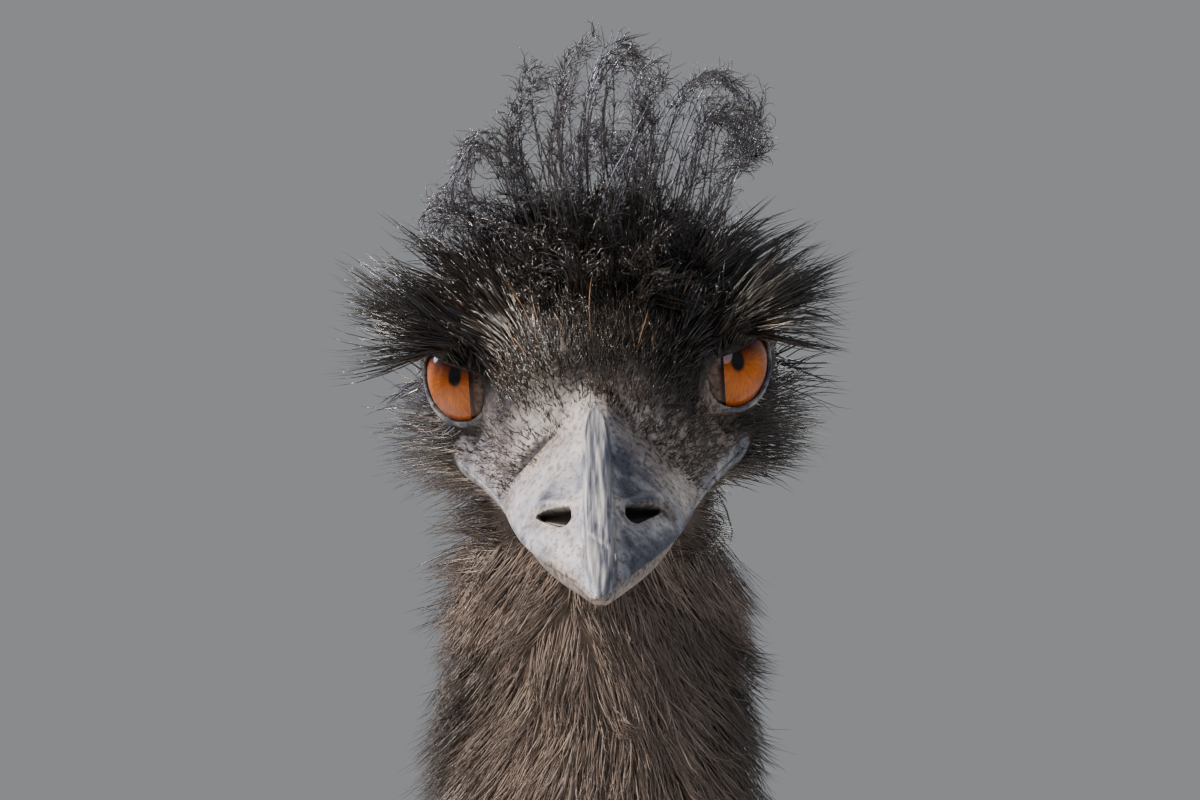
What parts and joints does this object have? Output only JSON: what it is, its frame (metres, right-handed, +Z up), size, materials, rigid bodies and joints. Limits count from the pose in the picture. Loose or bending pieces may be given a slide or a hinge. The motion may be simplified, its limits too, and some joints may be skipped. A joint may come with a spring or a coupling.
{
  "type": "emu",
  "caption": "Life-size standing emu with shaggy coat, curled crest, short wings, scaled legs and three-toed feet, looking ahead with its bill a little lowered.",
  "frame": {"origin": "on the ground below the middle of the whole bird's box", "axes": "+Z up; the bird looks along -Y, and its left side is +X"},
  "size_m": [0.475, 0.982, 1.7172],
  "materials": {
    "head_feather": "dull black-brown hair-like feathers",
    "neck_feather": "downy beige-brown feathers with dark tips",
    "body_feather": "long loose grey-brown double feathers",
    "horn": "chalky grey horn with faint streaks",
    "eye": "wet, orange-brown iris round a black pupil",
    "scale": "grey-brown horny scales",
    "claw": "dark horn, worn at the tips"
  },
  "bodies": {
    "root": {"head": "head_feather", "bill_upper": "horn", "bill_lower": "horn", "eye_left": "eye", "eye_right": "eye", "neck_upper": "neck_feather", "neck_lower": "neck_feather", "torso": "body_feather", "tail": "body_feather", "thigh_left": "body_feather", "thigh_right": "body_feather", "shank_left": "scale", "shank_right": "scale", "foot_left": "scale", "foot_right": "scale", "wing_left": "body_feather", "wing_right": "body_feather", "claw_inner_left": "claw", "claw_inner_right": "claw", "claw_middle_left": "claw", "claw_middle_right": "claw", "claw_outer_left": "claw", "claw_outer_right": "claw"}
  },
  "joints": []
}
